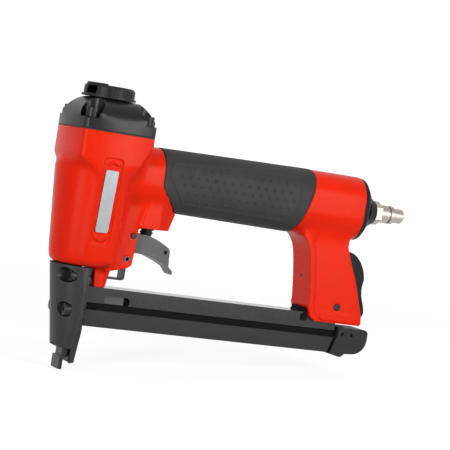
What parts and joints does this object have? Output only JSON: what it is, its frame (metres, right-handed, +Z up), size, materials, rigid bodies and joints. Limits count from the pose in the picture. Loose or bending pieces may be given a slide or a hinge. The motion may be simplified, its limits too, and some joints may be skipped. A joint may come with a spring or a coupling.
{
  "type": "pneumatic upholstery stapler",
  "caption": "Hand-held pneumatic upholstery stapler: cast body with rubber grip, contact nose, trigger, turning exhaust cap and a rear-sliding staple magazine.",
  "frame": {"origin": "on the drive axis in the plane of the contact foot, where a staple leaves the nose", "axes": "+X back along the handle to the air plug, +Y to the tool's far side in the picture, +Z up the drive axis to the cap"},
  "size_m": [0.2555, 0.053, 0.1818],
  "materials": {
    "casting_paint": "painted",
    "gasket": "matte",
    "cap_black": "satin",
    "black_oxide": "satin",
    "deflector_plastic": "matte",
    "sleeve_aluminium": "satin",
    "inner_plastic": "matte",
    "bumper_rubber": "matte",
    "piston_aluminium": "satin",
    "tool_steel": "ground",
    "badge_silver": "brushed",
    "grip_rubber": "matte",
    "end_cap_black": "satin",
    "nickel": "plated",
    "trigger_grey": "satin",
    "pin_steel": "satin",
    "stamped_steel": "satin",
    "valve_black": "satin",
    "yoke_steel": "blackened",
    "spring_steel": "satin",
    "nose_black": "satin",
    "guide_steel": "blackened",
    "magazine_black": "satin",
    "plated_screw": "plated",
    "core_steel": "blackened",
    "end_block_black": "satin",
    "pusher_grey": "cast",
    "lever_black": "matte",
    "lever_pin_black": "blackened"
  },
  "bodies": {
    "tool": {"body": "casting_paint", "cap_gasket": "gasket", "cylinder_cap": "cap_black", "cap_screws": "black_oxide", "deflector_screw": "black_oxide", "cylinder_sleeve": "sleeve_aluminium", "bumper": "bumper_rubber", "badge_plates": "badge_silver", "rubber_grip": "grip_rubber", "handle_end_cap": "end_cap_black", "air_plug": "nickel", "trigger_pin": "pin_steel", "valve_bush": "valve_black", "guide_pin_tube": "spring_steel", "front_plate": "nose_black", "nose_screws": "black_oxide", "driver_guide": "guide_steel", "magazine_rail": "magazine_black", "rail_screws": "plated_screw", "rail_clip": "valve_black", "lever_pin": "lever_pin_black", "leg_screw": "plated_screw"},
    "deflector": {"exhaust_deflector": "deflector_plastic"},
    "head_valve": {"head_valve": "inner_plastic"},
    "driver": {"piston": "piston_aluminium", "piston_ring": "bumper_rubber", "blade_pin": "tool_steel", "driver_blade": "tool_steel"},
    "trigger": {"trigger": "trigger_grey", "rocker_pin": "pin_steel"},
    "rocker": {"trigger_rocker": "stamped_steel"},
    "valve_stem": {"valve_stem": "stamped_steel"},
    "yoke": {"contact_yoke": "yoke_steel"},
    "slide": {"feed_slide": "magazine_black", "staple_core": "core_steel", "end_block": "end_block_black", "block_pins": "pin_steel", "pusher_rod": "stamped_steel"},
    "pusher": {"pusher": "pusher_grey"},
    "release_lever": {"release_lever": "lever_black"}
  },
  "joints": [
    {"name": "deflector_turn", "type": "hinge", "parent": "tool", "child": "deflector", "pos_m": [0.002, 0, 0.177], "axis": [0, 0, 1], "continuous": true},
    {"name": "head_valve_lift", "type": "slide", "parent": "tool", "child": "head_valve", "axis": [0, 0, 1], "range_m": [0, 0.003], "stiffness_N_per_m": 600, "springref_m": -0.002},
    {"name": "driver_stroke", "type": "slide", "parent": "tool", "child": "driver", "axis": [0, 0, -1], "range_m": [0, 0.0465]},
    {"name": "trigger_pull", "type": "hinge", "parent": "tool", "child": "trigger", "pos_m": [0.0289, 0, 0.0898], "axis": [0, -1, 0], "range_deg": [0, 9], "stiffness_Nm_per_rad": 0.6, "springref_deg": -8.59},
    {"name": "valve_push", "type": "slide", "parent": "tool", "child": "valve_stem", "axis": [0, 0, 1], "range_m": [0, 0.002]},
    {"name": "yoke_lift", "type": "slide", "parent": "tool", "child": "yoke", "axis": [0, 0, 1], "range_m": [0, 0.004], "stiffness_N_per_m": 300, "springref_m": -0.01},
    {"name": "rocker_tilt", "type": "hinge", "parent": "trigger", "child": "rocker", "pos_m": [0.055, 0, 0.0816], "axis": [0, 1, 0], "range_deg": [0, 9.2]},
    {"name": "slide_pull", "type": "slide", "parent": "tool", "child": "slide", "axis": [1, 0, 0], "range_m": [0, 0.12]},
    {"name": "pusher_feed", "type": "slide", "parent": "slide", "child": "pusher", "axis": [1, 0, 0], "range_m": [0, 0.14], "stiffness_N_per_m": 40, "springref_m": -0.06},
    {"name": "lever_press", "type": "hinge", "parent": "tool", "child": "release_lever", "pos_m": [0.1849, 0, 0.0602], "axis": [0, -1, 0], "range_deg": [0, 8], "stiffness_Nm_per_rad": 1, "springref_deg": -11.46}
  ],
  "couplings": [
    {"joint": "valve_push", "follows": "trigger_pull", "m_per_rad": 0.0123},
    {"joint": "rocker_tilt", "follows": "yoke_lift", "rad_per_m": 37.5}
  ]
}
